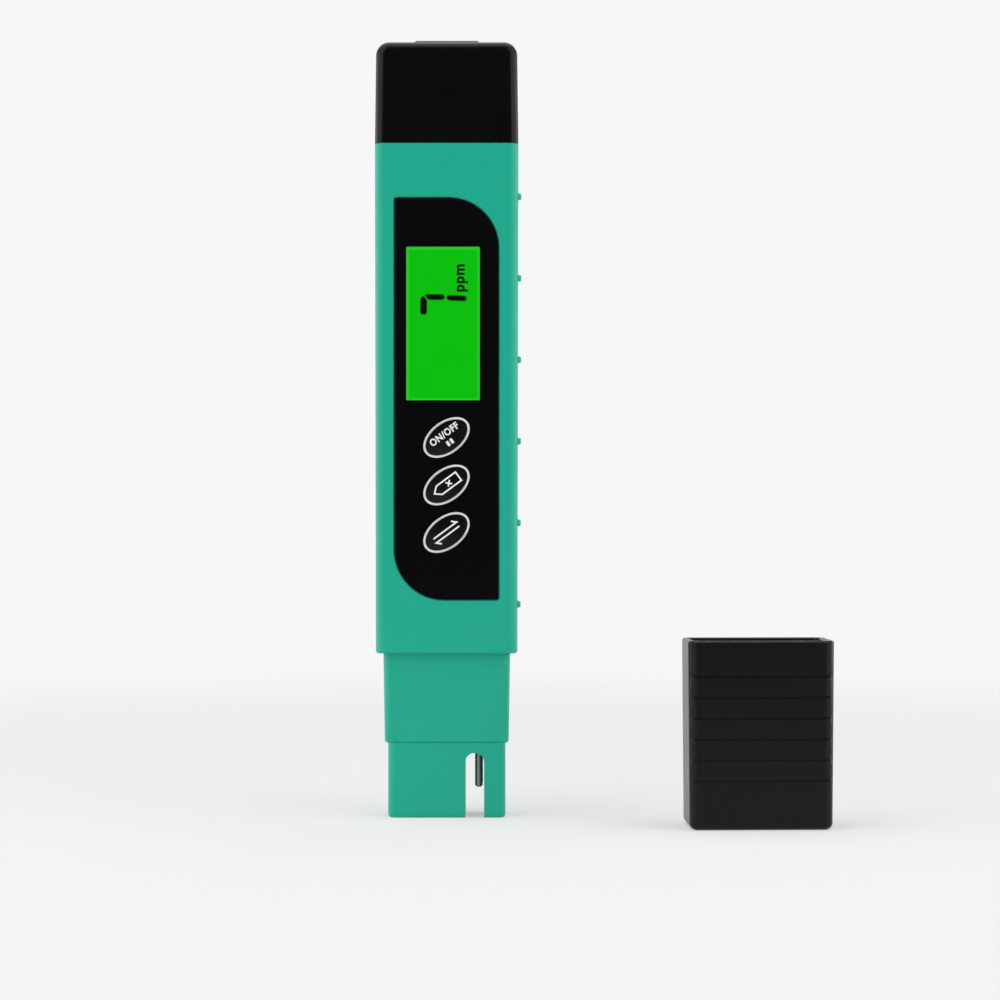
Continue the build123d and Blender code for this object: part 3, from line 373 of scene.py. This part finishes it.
def leaded_part(name, body_code, metal_code, axis, body_half):
    """Moulded epoxy body between tinned ends: dull in the middle and silvery beyond it.

    Half the length of the body is in millimetres, along the axis that the ends lie on."""
    body, metal = linear(body_code), linear(metal_code)
    material, tree, shader = finish(name, body, roughness=0.6, ior=1.55)
    place = add(tree, "ShaderNodeTexCoord").outputs["Object"]
    axes = add(tree, "ShaderNodeSeparateXYZ", {"Vector": place})
    away = add(tree, "ShaderNodeMath", {0: axes.outputs[axis]}, operation="ABSOLUTE")
    tinned = add(tree, "ShaderNodeMath", {0: away.outputs["Value"], 1: body_half * MM},
                 operation="GREATER_THAN")
    mix = add(tree, "ShaderNodeMix",
              {"Factor": tinned.outputs["Value"], "A": shade(body), "B": shade(metal)},
              data_type="RGBA")
    tree.links.new(mix.outputs["Result"], shader.inputs["Base Color"])
    tree.links.new(tinned.outputs["Value"], shader.inputs["Metallic"])
    grain(tree, shader, cell=0.3, height=0.003)
    return material


def dull_body(name, code):
    """Moulded rubber or fired ceramic: dull, with a fine dusty grain."""
    colour = linear(code)
    material, tree, shader = finish(name, colour, roughness=0.75, ior=1.5)
    vary_colour(tree, shader, colour, cell=1.2, spread=0.1)
    grain(tree, shader, cell=0.3, height=0.006)
    return material


def striped_rubber(name, dark_code, light_code):
    """Elastomer connector: dark and light rubber in turn up its length, with soft edges.

    The real layers are 0.1 mm. The wave repeats in a third of a cell, so a cell of 8 mm draws
    a dark and a light layer in 2.5 mm."""
    dark, light = linear(dark_code), linear(light_code)
    material, tree, shader = finish(name, light, roughness=0.7, ior=1.45)
    place = add(tree, "ShaderNodeTexCoord").outputs["Object"]
    bands = add(tree, "ShaderNodeTexWave", {"Vector": place, "Scale": cells_per_metre(8)},
                bands_direction="Z")
    mix = add(tree, "ShaderNodeMix",
              {"Factor": bands.outputs["Fac"], "A": shade(dark), "B": shade(light)},
              data_type="RGBA")
    tree.links.new(mix.outputs["Result"], shader.inputs["Base Color"])
    return material


def dress(material, *names):
    """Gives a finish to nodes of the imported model."""
    for name in names:
        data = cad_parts[name].data
        data.materials.clear()
        data.materials.append(material)


def centre(name):
    """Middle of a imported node's box."""
    low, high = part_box(name)
    return (low + high) / 2


def stroke_sides(path, index, width):
    """The two edge points of a stroke at one point of its path, mitred where the path turns."""
    closed = path[0] == path[-1]
    before = path[index - 1] if index else path[-2]
    after = path[index + 1] if index < len(path) - 1 else path[1]
    into, out = (path[index] - before).normalized(), (after - path[index]).normalized()
    if not closed and index == 0:
        into = out
    if not closed and index == len(path) - 1:
        out = into
    normal = Vector((-into.y - out.y, into.x + out.x, 0)).normalized()
    reach = width / 2 / normal.dot(Vector((-into.y, into.x, 0)))
    return path[index] - normal * reach, path[index] + normal * reach


def stroke_mesh(strokes, width):
    """Flat mesh of strokes with mitred corners, each given by its points in two directions.

    Long strokes are cut into short lengths, so that they can follow a dome."""
    mesh = bmesh.new()
    for points in strokes:
        path = [Vector((*point, 0)) for point in points]
        sides = [stroke_sides(path, index, width) for index in range(len(path))]
        for near, far in zip(sides, sides[1:]):
            steps = math.ceil((far[0] - near[0]).length / STROKE_STEP)
            rows = [[a.lerp(b, step / steps) for a, b in zip(near, far)]
                    for step in range(steps + 1)]
            for (a, b), (c, d) in zip(rows, rows[1:]):
                mesh.faces.new([mesh.verts.new(corner) for corner in (a, c, d, b)])
    return mesh


def word_mesh(words, length, height):
    """Flat mesh of a few bold letters, centred, that fills a box of that length and height."""
    curve = bpy.data.curves.new(words, "FONT")
    curve.body = words
    curve.offset = LETTER_WEIGHT
    curve.space_character = LETTER_SPACING
    text = bpy.data.objects.new(words, curve)
    bpy.context.scene.collection.objects.link(text)
    bpy.context.view_layer.update()
    shown = text.evaluated_get(bpy.context.evaluated_depsgraph_get())
    data = bpy.data.meshes.new_from_object(shown)
    mesh = bmesh.new()
    mesh.from_mesh(data)
    across = [vertex.co.x for vertex in mesh.verts]
    up = [vertex.co.y for vertex in mesh.verts]
    middle = Vector((max(across) + min(across), max(up) + min(up), 0)) / 2
    bmesh.ops.translate(mesh, vec=-middle, verts=mesh.verts)
    scale = (length / (max(across) - min(across)), height / (max(up) - min(up)), 1)
    bmesh.ops.scale(mesh, vec=scale, verts=mesh.verts)
    bpy.data.objects.remove(text)
    bpy.data.meshes.remove(data)
    return mesh


def printed(name, mesh, place, thickness, material, body):
    """Object made from a flat mesh, whose points are laid on a surface and given a thickness."""
    bmesh.ops.remove_doubles(mesh, verts=mesh.verts, dist=thickness / 10)
    for vertex in mesh.verts:
        vertex.co = place(vertex.co.x, vertex.co.y)
    bmesh.ops.triangulate(mesh, faces=mesh.faces)
    data = bpy.data.meshes.new(name)
    mesh.to_mesh(data)
    mesh.free()
    data.materials.append(material)
    piece = bpy.data.objects.new(name, data)
    bpy.context.scene.collection.objects.link(piece)
    solid = piece.modifiers.new("Ink", "SOLIDIFY")
    solid.thickness = thickness
    solid.offset = 0
    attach(piece, body)


def on_key(key, up, ink):
    """Function that lays a point on a key's crown, tilted with the key.

    The sign's middle is so far above the key's, and a quarter of the ink is sunk in the rubber."""
    middle = centre(key)
    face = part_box(key)[0].y

    def place(x, y):
        along, across = x, y + up
        dx = along * math.cos(KEY_TILT) - across * math.sin(KEY_TILT)
        dz = along * math.sin(KEY_TILT) + across * math.cos(KEY_TILT)
        drop = KEY_CROWN_RADIUS - math.sqrt(KEY_CROWN_RADIUS ** 2 - dx ** 2 - dz ** 2)
        return Vector((middle.x + dx, face + drop - ink / 4, middle.z + dz))

    return place


def pause_sign(height):
    """Two upright bars, the usual sign for holding a reading."""
    side, half = height * 0.3, height * 0.36
    return [[(x, -half), (x, half)] for x in (-side, side)]


def erase_sign(height, width):
    """Pointed tag with a cross in it, the usual sign for clearing an entry.

    The second bar of the cross is left open where the first one passes, at its width."""
    half, long, shoulder = height * 0.46, height * 1.35, height * 0.81
    tag = [(-long, 0), (-shoulder, half), (long, half), (long, -half), (-shoulder, -half),
           (-long, 0)]
    middle, cross, gap = height * 0.27, height * 0.22, width / 2 * math.sqrt(0.5)
    return [tag, [(middle - cross, -cross), (middle + cross, cross)],
            [(middle - cross, cross), (middle - gap, gap)],
            [(middle + gap, -gap), (middle + cross, -cross)]]


def swap_sign(height):
    """Two arrows in opposite directions, the usual sign for changing over."""
    rise, long, barb = height * 0.22, height * 1.3, height * 0.36
    right = [(-long, rise), (long, rise), (long - barb, rise + barb)]
    return [right, [(-x, -y) for x, y in right]]


def draw_figures(colours, sizes):
    """Seven made of three bars and the unit beside it, both turned a quarter turn to the left.

    The dark liquid crystal is drawn as ink just in front of the lit film."""
    middle = centre("display_lens")
    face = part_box("front_polariser")[0].y

    def place(along, up):
        return Vector((middle.x - up, face - sizes.ink, middle.z + along))

    dark = screen_ink("liquid_crystal", colours.figures, reflection=0.05)
    figure = bmesh.new()
    for outline in SEVEN:
        corners = [Vector((x, y, 0)) * sizes.figure_height / SEVEN_HEIGHT for x, y in outline]
        figure.faces.new([figure.verts.new(corner) for corner in corners])
    bmesh.ops.bevel(figure, geom=figure.verts, offset=sizes.figure_round, segments=3,
                    affect="VERTICES")
    printed("display_figure", figure, place, sizes.ink, dark, "meter")
    unit = word_mesh("ppm", sizes.unit_length, sizes.unit_height)
    bmesh.ops.translate(unit, vec=UNIT_PLACE, verts=unit.verts)
    printed("display_unit", unit, place, sizes.ink, dark, "meter")


class METER_OT_dress_case(bpy.types.Operator):
    """Gives the half shells their teal plastic"""

    bl_idname = "meter.dress_case"
    bl_label = "Case"

    def execute(self, context):
        colours = context.scene.meter_colours
        teal = moulded_plastic("teal_abs", colours.case, roughness=0.42)
        dress(teal, "front_shell", "rear_shell")
        return {"FINISHED"}


class METER_OT_dress_caps(bpy.types.Operator):
    """Gives the battery cap and the probe cap their black plastic"""

    bl_idname = "meter.dress_caps"
    bl_label = "Caps"

    def execute(self, context):
        colours = context.scene.meter_colours
        black = moulded_plastic("black_abs", colours.caps, roughness=0.28, reflection=0.2)
        dress(black, "battery_cap", "probe_cap")
        return {"FINISHED"}


class METER_OT_dress_fascia(bpy.types.Operator):
    """Gives the fascia its gloss and the window its clear plastic"""

    bl_idname = "meter.dress_fascia"
    bl_label = "Fascia and window"

    def execute(self, context):
        colours = context.scene.meter_colours
        dress(hard_coated_film("fascia_film", colours.fascia), "fascia_panel")
        dress(clear_plastic("window_acrylic", linear("#FBFFFB")), "display_lens")
        return {"FINISHED"}


class METER_OT_make_keys(bpy.types.Operator):
    """Dresses the keys and their rings, and prints a sign on each key"""

    bl_idname = "meter.make_keys"
    bl_label = "Keys and signs"

    def execute(self, context):
        colours = context.scene.meter_colours
        sizes = context.scene.meter_sizes
        dress(silicone_key("key_silicone", colours.keys), *KEYS)
        dress(lacquered_ring("ring_lacquer", colours.rings), "key_rings")
        dress(moulded_plastic("switch_nylon", linear("#202022"), roughness=0.5), "switch_bodies")
        plungers = [key.replace("_key", "_plunger") for key in KEYS]
        dress(moulded_plastic("plunger_acetal", linear("#E8E6E0"), roughness=0.45), *plungers)
        ink = screen_ink("white_ink", colours.signs)
        stroke, height = sizes.sign_stroke, sizes.sign_height
        word = word_mesh("ON/OFF", sizes.word_length, sizes.word_height)
        pause = stroke_mesh(pause_sign(sizes.word_height), stroke * PAUSE_WEIGHT)
        erase = stroke_mesh(erase_sign(height, stroke), stroke)
        swap = stroke_mesh(swap_sign(height), stroke)
        for name, mesh, key, up in (("power_word", word, "power_key", WORD_RISE),
                                    ("hold_sign", pause, "power_key", PAUSE_RISE),
                                    ("clear_sign", erase, "clear_key", 0.0),
                                    ("mode_sign", swap, "mode_key", 0.0)):
            place = on_key(key, up, sizes.ink)
            printed(name, mesh, place, sizes.ink, ink, key)
        return {"FINISHED"}


class METER_OT_make_display(bpy.types.Operator):
    """Lights the display and draws its figures"""

    bl_idname = "meter.make_display"
    bl_label = "Display"

    def execute(self, context):
        colours = context.scene.meter_colours
        low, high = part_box("display_lens")
        ledge = Vector((LENS_LEDGE, 0, LENS_LEDGE))
        film = lit_film("lit_polariser", colours.display, colours.display_edge,
                        low + ledge, high - ledge)
        dress(film, "front_polariser")
        dress(clear_glass("cell_glass", linear("#F4FFF6")), "lcd_front_glass", "lcd_rear_glass")
        dress(clear_plastic("polariser_acetate", linear("#7FA58A")), "rear_polariser")
        dress(clear_plastic("guide_acrylic", linear("#B9F5BC")), "light_guide")
        dress(moulded_plastic("frame_abs", linear("#DADBD8"), roughness=0.55), "lcd_frame")
        lamps = leaded_part("lamp_package", "#E9E7D8", "#BFC1C0", axis="X", body_half=9.0)
        dress(lamps, "backlight_leds")
        dress(striped_rubber("zebra_rubber", "#1A1A1C", "#C9A9A0"), "zebra_strips")
        draw_figures(colours, context.scene.meter_sizes)
        return {"FINISHED"}


class METER_OT_dress_probe(bpy.types.Operator):
    """Gives the electrodes, their holder and seal and the thermistor their finishes"""

    bl_idname = "meter.dress_probe"
    bl_label = "Probe"

    def execute(self, context):
        titanium = drawn_metal("ground_titanium", "#8E8B87", roughness=0.3, cell=0.3,
                               finer=(1, 1, 6))
        dress(titanium, "front_electrode", "rear_electrode")
        dress(dull_body("seal_rubber", "#1B1B1C"), "probe_seal")
        dress(moulded_plastic("holder_abs", linear("#D8D4C8"), roughness=0.5), "electrode_holder")
        dress(clear_glass("bead_glass", linear("#D9B48A")), "thermistor")
        wires = moulded_plastic("wire_pvc", linear("#B3261E"), roughness=0.4)
        dress(wires, "electrode_leads", "thermistor_leads")
        return {"FINISHED"}


class METER_OT_dress_electronics(bpy.types.Operator):
    """Gives the circuit board and what it carries their finishes"""

    bl_idname = "meter.dress_electronics"
    bl_label = "Electronics"

    def execute(self, context):
        dress(glass_fibre_board("resist_green", "#0E4F2C"), "circuit_board")
        for name, chip, half in (("epoxy_large", "controller_chip", 5.0),
                                 ("epoxy_small", "amplifier_chip", 2.2)):
            dress(leaded_part(name, "#17181A", "#C6C8C9", axis="X", body_half=half), chip)
        dress(plated_steel("crystal_can", "#C9C9C7", roughness=0.25), "timing_crystal")
        dress(dull_body("fired_ceramic", "#9C7F5E"), "chip_capacitors")
        dress(dull_body("fired_alumina", "#26262B"), "chip_resistors")
        dress(plated_steel("zinc_steel", "#B9BBBC", roughness=0.35), "board_screws")
        return {"FINISHED"}


class METER_OT_dress_battery(bpy.types.Operator):
    """Gives the cells, their holder and their contacts their finishes"""

    bl_idname = "meter.dress_battery"
    bl_label = "Battery"

    def execute(self, context):
        dress(moulded_plastic("holder_black", linear("#1D1D1F"), roughness=0.5), "battery_holder")
        nickel = plated_steel("cell_nickel", "#C8C6C0", roughness=0.22)
        dress(nickel, "lower_cell", "upper_cell")
        bronze = drawn_metal("phosphor_bronze", "#C99A62", roughness=0.28, cell=0.25,
                             finer=(6, 1, 1))
        dress(bronze, "lower_contact", "upper_contact", "cell_bridge")
        return {"FINISHED"}


def seen_directly(tree):
    """1 for camera, glossy and transmission rays and 0 for the rays that light the object."""
    rays = add(tree, "ShaderNodeLightPath").outputs
    first = add(tree, "ShaderNodeMath", {0: rays["Is Camera Ray"], 1: rays["Is Glossy Ray"]},
                operation="MAXIMUM")
    both = add(tree, "ShaderNodeMath",
               {0: first.outputs["Value"], 1: rays["Is Transmission Ray"]}, operation="MAXIMUM")
    return both.outputs["Value"]


def lay_floor(scene):
    """Pale matt sheet that keeps the object's shadow and fades to the background further out."""
    mesh = bmesh.new()
    bmesh.ops.create_circle(mesh, cap_ends=True, segments=96, radius=FLOOR_RADIUS)
    data = bpy.data.meshes.new("floor")
    mesh.to_mesh(data)
    mesh.free()
    floor = bpy.data.objects.new("floor", data)
    scene.collection.objects.link(floor)
    material, tree, shader = finish("matt_card", STAGE_WHITE, roughness=0.9)
    place = add(tree, "ShaderNodeTexCoord").outputs["Object"]
    axes = add(tree, "ShaderNodeSeparateXYZ", {"Vector": place})
    front = add(tree, "ShaderNodeMapRange",
                {"Value": axes.outputs["Y"], "From Min": FLOOR_FRONT[0],
                 "From Max": FLOOR_FRONT[1]}, interpolation_type="SMOOTHSTEP")
    rays = add(tree, "ShaderNodeLightPath").outputs
    level = add(tree, "ShaderNodeMath",
                {0: front.outputs["Result"], 1: rays["Is Camera Ray"]}, operation="MAXIMUM")
    glow = add(tree, "ShaderNodeEmission",
               {"Color": shade(STAGE_WHITE), "Strength": level.outputs["Value"]})
    away = add(tree, "ShaderNodeVectorMath", {0: place}, operation="LENGTH")
    fade = add(tree, "ShaderNodeMapRange",
               {"Value": away.outputs["Value"], "From Min": FLOOR_FADE[0],
                "From Max": FLOOR_FADE[1], "To Min": FLOOR_NEAR_WHITE, "To Max": 1.0},
               interpolation_type="SMOOTHSTEP")
    white = add(tree, "ShaderNodeMath", {0: fade.outputs["Result"], 1: seen_directly(tree)},
                operation="MULTIPLY")
    mix = add(tree, "ShaderNodeMixShader",
              {0: white.outputs["Value"], 1: shader.outputs["BSDF"], 2: glow.outputs["Emission"]})
    tree.links.new(mix.outputs["Shader"], tree.nodes["Material Output"].inputs["Surface"])
    data.materials.append(material)


def set_world(scene):
    """White all round for the camera, white behind the object for gloss, and dim for light."""
    world = bpy.data.worlds.new("studio")
    world.use_nodes = True
    tree = world.node_tree
    direction = add(tree, "ShaderNodeTexCoord").outputs["Generated"]
    axes = add(tree, "ShaderNodeSeparateXYZ", {"Vector": direction})
    behind = add(tree, "ShaderNodeMapRange",
                 {"Value": axes.outputs["Y"], "From Min": WORLD_EDGE[0],
                  "From Max": WORLD_EDGE[1]}, interpolation_type="SMOOTHSTEP")
    shown = add(tree, "ShaderNodeMath", {0: behind.outputs["Result"], 1: seen_directly(tree)},
                operation="MULTIPLY")
    rays = add(tree, "ShaderNodeLightPath").outputs
    white = add(tree, "ShaderNodeMath",
                {0: shown.outputs["Value"], 1: rays["Is Camera Ray"]}, operation="MAXIMUM")
    mix = add(tree, "ShaderNodeMix",
              {"Factor": white.outputs["Value"], "A": shade(WORLD_DIM), "B": shade(STAGE_WHITE)},
              data_type="RGBA")
    tree.links.new(mix.outputs["Result"], tree.nodes["Background"].inputs["Color"])
    scene.world = world


def hang_lamp(scene, name, place, side, power):
    """Square soft lamp that faces the meter."""
    light = bpy.data.lights.new(name, "AREA")
    light.size = side
    light.energy = power
    lamp = bpy.data.objects.new(name, light)
    scene.collection.objects.link(lamp)
    lamp.location = place
    lamp.rotation_euler = (LAMP_TARGET - Vector(place)).to_track_quat("-Z", "Y").to_euler()


def set_camera(scene):
    """Level camera in front of the display."""
    data = bpy.data.cameras.new("camera")
    data.angle = 2 * math.atan(CAMERA_FRAME / 2 / CAMERA_DISTANCE)
    data.clip_start = 0.01
    camera = bpy.data.objects.new("camera", data)
    scene.collection.objects.link(camera)
    camera.location = CAMERA_PLACE
    camera.rotation_euler = (math.radians(90), 0, 0)
    scene.camera = camera


class METER_OT_make_stage(bpy.types.Operator):
    """Sets the pale floor, the lamps, the world and the camera"""

    bl_idname = "meter.make_stage"
    bl_label = "Studio"

    def execute(self, context):
        scene = context.scene
        lay_floor(scene)
        set_world(scene)
        for lamp in LAMPS:
            hang_lamp(scene, *lamp)
        set_camera(scene)
        scene.view_settings.view_transform = "Standard"
        return {"FINISHED"}


OPERATORS = (METER_OT_dress_case, METER_OT_dress_caps, METER_OT_dress_fascia, METER_OT_make_keys,
             METER_OT_make_display, METER_OT_dress_probe, METER_OT_dress_electronics,
             METER_OT_dress_battery, METER_OT_make_stage)


class METER_PT_panel(bpy.types.Panel):
    """Lists the meter's colours, sizes and operators"""

    bl_idname = "METER_PT_panel"
    bl_label = "Dissolved solids meter"
    bl_space_type = "VIEW_3D"
    bl_region_type = "UI"
    bl_category = "Meter"

    def draw(self, context):
        for group in (context.scene.meter_colours, context.scene.meter_sizes):
            box = self.layout.box()
            for name in group.__annotations__:
                box.prop(group, name)
        for operator in OPERATORS:
            self.layout.operator(operator.bl_idname)


CLASSES = (MeterColours, MeterSizes, *OPERATORS, METER_PT_panel)


def register():
    """Registers the classes and the scene's two groups of settings."""
    for kind in CLASSES:
        bpy.utils.register_class(kind)
    bpy.types.Scene.meter_colours = bpy.props.PointerProperty(type=MeterColours)
    bpy.types.Scene.meter_sizes = bpy.props.PointerProperty(type=MeterSizes)


def unregister():
    """Removes what register() added."""
    del bpy.types.Scene.meter_sizes
    del bpy.types.Scene.meter_colours
    for kind in reversed(CLASSES):
        bpy.utils.unregister_class(kind)


def main():
    """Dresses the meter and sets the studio."""
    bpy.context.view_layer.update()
    register()
    for operator in OPERATORS:
        group, name = operator.bl_idname.split(".")
        getattr(getattr(bpy.ops, group), name)()


if __name__ == "__main__":
    main()
